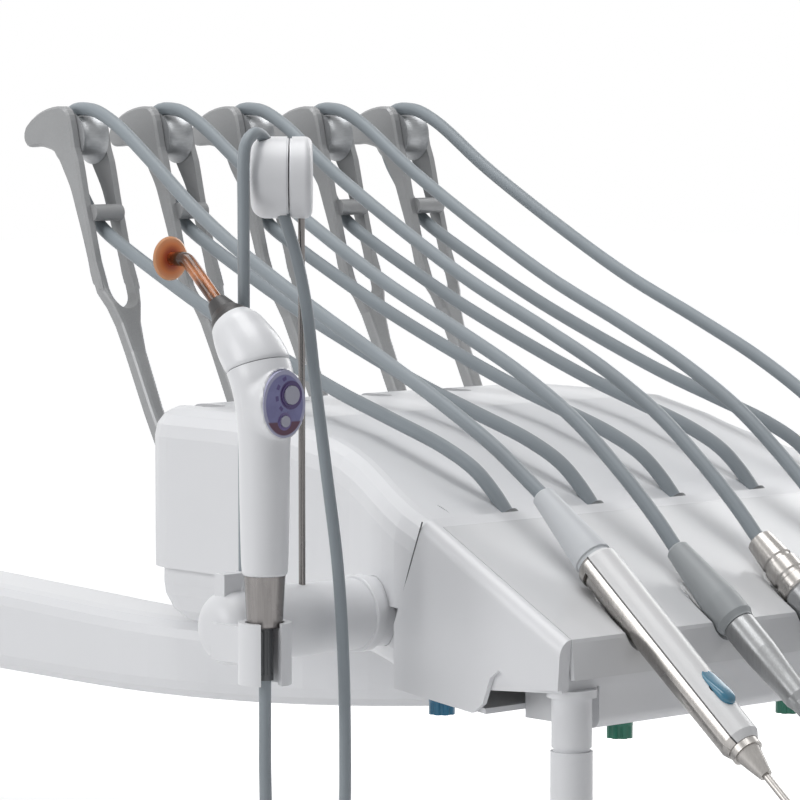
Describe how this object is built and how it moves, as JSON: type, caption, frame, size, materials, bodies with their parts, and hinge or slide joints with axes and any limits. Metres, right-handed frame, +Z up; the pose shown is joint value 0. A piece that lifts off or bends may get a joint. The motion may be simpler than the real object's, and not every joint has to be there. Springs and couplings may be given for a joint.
{
  "type": "dental treatment unit",
  "caption": "Over-patient dental delivery head with whip arms, hoses and handpieces on a sloping tray, a curing light in a side holder and a curved support arm.",
  "frame": {"origin": "mouth of the bore in the support arm's rear hub, on the bore's axis", "axes": "+Z up along the bore, +Y from the instruments to the rear, +X to the right seen from the front"},
  "size_m": [0.4897, 0.9274, 0.4284],
  "materials": {
    "housing_white": "satin moulded, warm white",
    "arm_white": "satin powder coat",
    "mat_grey": "matt silicone",
    "cast_grey": "fine satin casting",
    "roller_metal": "polished",
    "steel": "brushed",
    "chassis_steel": "zinc plated",
    "bush_bronze": "machined",
    "spring_steel": "dark",
    "hose_grey": "smooth satin",
    "gland_grey": "matt",
    "boot_grey": "matt",
    "boot_white": "matt",
    "tool_grey": "matt",
    "tool_steel": "polished",
    "tool_white": "gloss",
    "button_blue": "gloss",
    "knob_blue": "gloss",
    "knob_green": "gloss",
    "light_white": "gloss",
    "nose_dark": "matt",
    "keypad_blue": "gloss film",
    "key_grey": "gloss",
    "guide_amber": "clear amber glass rod",
    "shield_orange": "translucent orange"
  },
  "bodies": {
    "support": {"support_arm": "arm_white", "swivel_post": "steel", "arm_caps": "arm_white"},
    "head": {"lower_shell": "housing_white", "upper_cover": "housing_white", "tray_shell": "housing_white", "tray_mat": "mat_grey", "front_panel": "housing_white", "arm_chassis": "chassis_steel", "swivel_bush": "bush_bronze", "arm_shaft": "steel", "return_springs": "spring_steel", "hose_glands": "gland_grey", "holder_barrel": "housing_white", "side_handle": "housing_white", "hose_1": "hose_grey", "hose_2": "hose_grey", "hose_3": "hose_grey", "hose_4": "hose_grey", "hose_5": "hose_grey"},
    "arm_1": {"whip_arm_1": "cast_grey"},
    "roller_1": {"roller_1": "roller_metal"},
    "arm_2": {"whip_arm_2": "cast_grey"},
    "roller_2": {"roller_2": "roller_metal"},
    "arm_3": {"whip_arm_3": "cast_grey"},
    "roller_3": {"roller_3": "roller_metal"},
    "arm_4": {"whip_arm_4": "cast_grey"},
    "roller_4": {"roller_4": "roller_metal"},
    "arm_5": {"whip_arm_5": "cast_grey"},
    "roller_5": {"roller_5": "roller_metal"},
    "syringe": {"syringe_boot": "boot_white", "syringe_cover": "tool_white", "syringe_core": "tool_steel"},
    "syringe_button": {"syringe_button": "button_blue"},
    "turbine": {"turbine_boot": "boot_grey", "turbine_body": "tool_grey"},
    "motor": {"motor_coupling": "tool_steel", "motor_body": "tool_grey"},
    "scaler": {"scaler_boot": "boot_grey", "scaler_body": "tool_white"},
    "polisher": {"polisher_boot": "tool_steel", "polisher_body": "tool_grey"},
    "holder": {"holder_knuckle": "housing_white", "holder_cup": "housing_white", "guide_rod": "steel", "cord_guide": "housing_white", "light_cord": "hose_grey"},
    "light": {"light_boot": "gland_grey", "light_ferrule": "steel", "light_handle": "light_white", "light_head": "light_white", "light_nose": "nose_dark", "light_keypad": "keypad_blue"},
    "key_large": {"light_key_large": "key_grey"},
    "key_small": {"light_key_small": "key_grey"},
    "light_guide": {"light_guide": "guide_amber", "light_shield": "shield_orange"},
    "knob_blue": {"flow_knob_blue": "knob_blue"},
    "knob_green_1": {"flow_knob_green_1": "knob_green"},
    "knob_green_2": {"flow_knob_green_2": "knob_green"}
  },
  "joints": [
    {"name": "head_swivel", "type": "hinge", "parent": "support", "child": "head", "pos_m": [0.117, -0.52, 0.052], "axis": [0, 0, 1], "range_deg": [-45, 120]},
    {"name": "whip_arm_1_tilt", "type": "hinge", "parent": "head", "child": "arm_1", "pos_m": [-0.013, -0.4, 0.128], "axis": [1, 0, 0], "range_deg": [0, 45], "stiffness_Nm_per_rad": 0.2, "springref_deg": -28.65, "deforming": ["hose_1"]},
    {"name": "roller_1_spin", "type": "hinge", "parent": "arm_1", "child": "roller_1", "pos_m": [-0.013, -0.2955, 0.3375], "axis": [1, 0, 0], "continuous": true},
    {"name": "whip_arm_2_tilt", "type": "hinge", "parent": "head", "child": "arm_2", "pos_m": [0.052, -0.4, 0.128], "axis": [1, 0, 0], "range_deg": [0, 45], "stiffness_Nm_per_rad": 0.2, "springref_deg": -28.65, "deforming": ["hose_2"]},
    {"name": "roller_2_spin", "type": "hinge", "parent": "arm_2", "child": "roller_2", "pos_m": [0.052, -0.2955, 0.3375], "axis": [1, 0, 0], "continuous": true},
    {"name": "whip_arm_3_tilt", "type": "hinge", "parent": "head", "child": "arm_3", "pos_m": [0.117, -0.4, 0.128], "axis": [1, 0, 0], "range_deg": [0, 45], "stiffness_Nm_per_rad": 0.2, "springref_deg": -28.65, "deforming": ["hose_3"]},
    {"name": "roller_3_spin", "type": "hinge", "parent": "arm_3", "child": "roller_3", "pos_m": [0.117, -0.2955, 0.3375], "axis": [1, 0, 0], "continuous": true},
    {"name": "whip_arm_4_tilt", "type": "hinge", "parent": "head", "child": "arm_4", "pos_m": [0.182, -0.4, 0.128], "axis": [1, 0, 0], "range_deg": [0, 45], "stiffness_Nm_per_rad": 0.2, "springref_deg": -28.65, "deforming": ["hose_4"]},
    {"name": "roller_4_spin", "type": "hinge", "parent": "arm_4", "child": "roller_4", "pos_m": [0.182, -0.2955, 0.3375], "axis": [1, 0, 0], "continuous": true},
    {"name": "whip_arm_5_tilt", "type": "hinge", "parent": "head", "child": "arm_5", "pos_m": [0.247, -0.4, 0.128], "axis": [1, 0, 0], "range_deg": [0, 45], "stiffness_Nm_per_rad": 0.2, "springref_deg": -28.65, "deforming": ["hose_5"]},
    {"name": "roller_5_spin", "type": "hinge", "parent": "arm_5", "child": "roller_5", "pos_m": [0.247, -0.2955, 0.3375], "axis": [1, 0, 0], "continuous": true},
    {"name": "syringe_lift", "type": "slide", "parent": "head", "child": "syringe", "axis": [0, -0.6247, 0.7809], "range_m": [0, 0.025], "deforming": ["hose_1"]},
    {"name": "turbine_lift", "type": "slide", "parent": "head", "child": "turbine", "axis": [0, -0.6247, 0.7809], "range_m": [0, 0.025], "deforming": ["hose_2"]},
    {"name": "motor_lift", "type": "slide", "parent": "head", "child": "motor", "axis": [0, -0.6247, 0.7809], "range_m": [0, 0.025], "deforming": ["hose_3"]},
    {"name": "scaler_lift", "type": "slide", "parent": "head", "child": "scaler", "axis": [0, -0.6247, 0.7809], "range_m": [0, 0.025], "deforming": ["hose_4"]},
    {"name": "polisher_lift", "type": "slide", "parent": "head", "child": "polisher", "axis": [0, -0.6247, 0.7809], "range_m": [0, 0.025], "deforming": ["hose_5"]},
    {"name": "syringe_button_press", "type": "slide", "parent": "syringe", "child": "syringe_button", "axis": [0, 0.6247, -0.7809], "range_m": [0, 0.0015], "stiffness_N_per_m": 400, "springref_m": -0.001},
    {"name": "holder_tilt", "type": "hinge", "parent": "head", "child": "holder", "pos_m": [-0.128, -0.615, 0.085], "axis": [1, 0, 0], "range_deg": [-20, 20]},
    {"name": "light_lift", "type": "slide", "parent": "holder", "child": "light", "axis": [0, 0, 1], "range_m": [0, 0.04], "deforming": ["light_cord"]},
    {"name": "light_guide_turn", "type": "hinge", "parent": "light", "child": "light_guide", "pos_m": [-0.168, -0.6256, 0.2445], "axis": [0, 0.7547, 0.6561], "range_deg": [-160, 160]},
    {"name": "light_key_large_press", "type": "slide", "parent": "light", "child": "key_large", "axis": [0, 1, 0], "range_m": [0, 0.0006], "stiffness_N_per_m": 400, "springref_m": -0.0005},
    {"name": "light_key_small_press", "type": "slide", "parent": "light", "child": "key_small", "axis": [0, 1, 0], "range_m": [0, 0.0006], "stiffness_N_per_m": 400, "springref_m": -0.0005},
    {"name": "knob_blue_turn", "type": "hinge", "parent": "head", "child": "knob_blue", "pos_m": [-0.059, -0.667, 0.036], "axis": [0, 0, 1], "range_deg": [0, 270]},
    {"name": "knob_green_1_turn", "type": "hinge", "parent": "head", "child": "knob_green_1", "pos_m": [-0.008, -0.749, 0.036], "axis": [0, 0, 1], "range_deg": [0, 270]},
    {"name": "knob_green_2_turn", "type": "hinge", "parent": "head", "child": "knob_green_2", "pos_m": [0.122, -0.749, 0.036], "axis": [0, 0, 1], "range_deg": [0, 270]}
  ]
}
